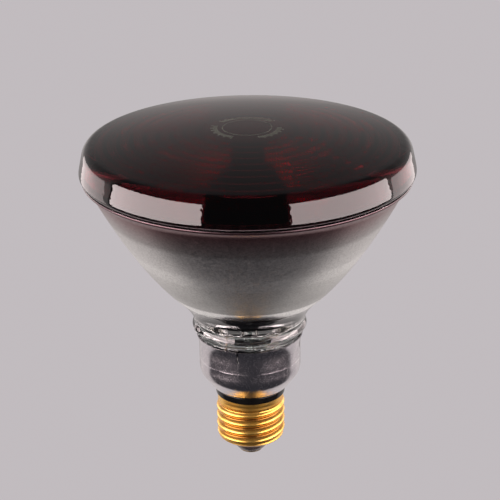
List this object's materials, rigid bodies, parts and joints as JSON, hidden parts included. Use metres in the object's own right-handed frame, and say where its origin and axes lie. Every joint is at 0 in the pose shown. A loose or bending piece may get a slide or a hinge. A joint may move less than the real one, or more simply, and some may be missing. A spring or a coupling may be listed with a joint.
{
  "type": "infrared heat lamp",
  "caption": "Sealed infrared reflector heat lamp: domed ruby glass lens, flared aluminised glass reflector, metal skirt and brass Edison screw cap.",
  "frame": {"origin": "centre of the flat end of the centre contact, at the bottom of the screw cap", "axes": "+Z along the lamp's axis from the cap towards the lens; -Y is the side with one slit of the skirt just left of its middle"},
  "size_m": [0.122, 0.122, 0.131],
  "materials": {
    "ruby_glass": "glossy dark ruby pressed glass",
    "clear_glass": "clear pressed glass",
    "mirror_film": "evaporated aluminium, satin on its glass side",
    "ferrule_alloy": "dull nickel-iron",
    "braze_alloy": "dull braze",
    "lead_nickel": "satin nickel",
    "tungsten": "dark drawn wire",
    "bead_glass": "milky glass",
    "skirt_aluminium": "satin with fine handling scratches",
    "black_insulation": "glossy black moulded resin",
    "shell_brass": "bright rolled sheet",
    "black_glass": "opaque black glass",
    "contact_brass": "satin brass",
    "solder_alloy": "dull solder",
    "fuse_body": "matt off-white ceramic",
    "copper_wire": "copper wire",
    "sleeve_fibre": "woven glass-fibre sleeve"
  },
  "bodies": {
    "root": {"front_lens": "ruby_glass", "reflector_body": "clear_glass", "mirror_coating": "mirror_film", "ferrule_left": "ferrule_alloy", "ferrule_right": "ferrule_alloy", "ferrule_braze_left": "braze_alloy", "ferrule_braze_right": "braze_alloy", "lead_post_left": "lead_nickel", "lead_post_right": "lead_nickel", "filament_clamp_left": "lead_nickel", "filament_clamp_right": "lead_nickel", "filament": "tungsten", "filament_support_left": "lead_nickel", "filament_support_right": "lead_nickel", "support_bead": "bead_glass", "exhaust_tip": "clear_glass", "skirt": "skirt_aluminium", "insulating_ring": "black_insulation", "screw_shell": "shell_brass", "base_insulator": "black_glass", "centre_contact": "contact_brass", "contact_solder": "solder_alloy", "fuse": "fuse_body", "lead_wire_fused": "copper_wire", "lead_wire_centre": "copper_wire", "lead_wire_shell": "copper_wire", "insulating_sleeve": "sleeve_fibre", "shell_solder": "solder_alloy"}
  },
  "joints": []
}
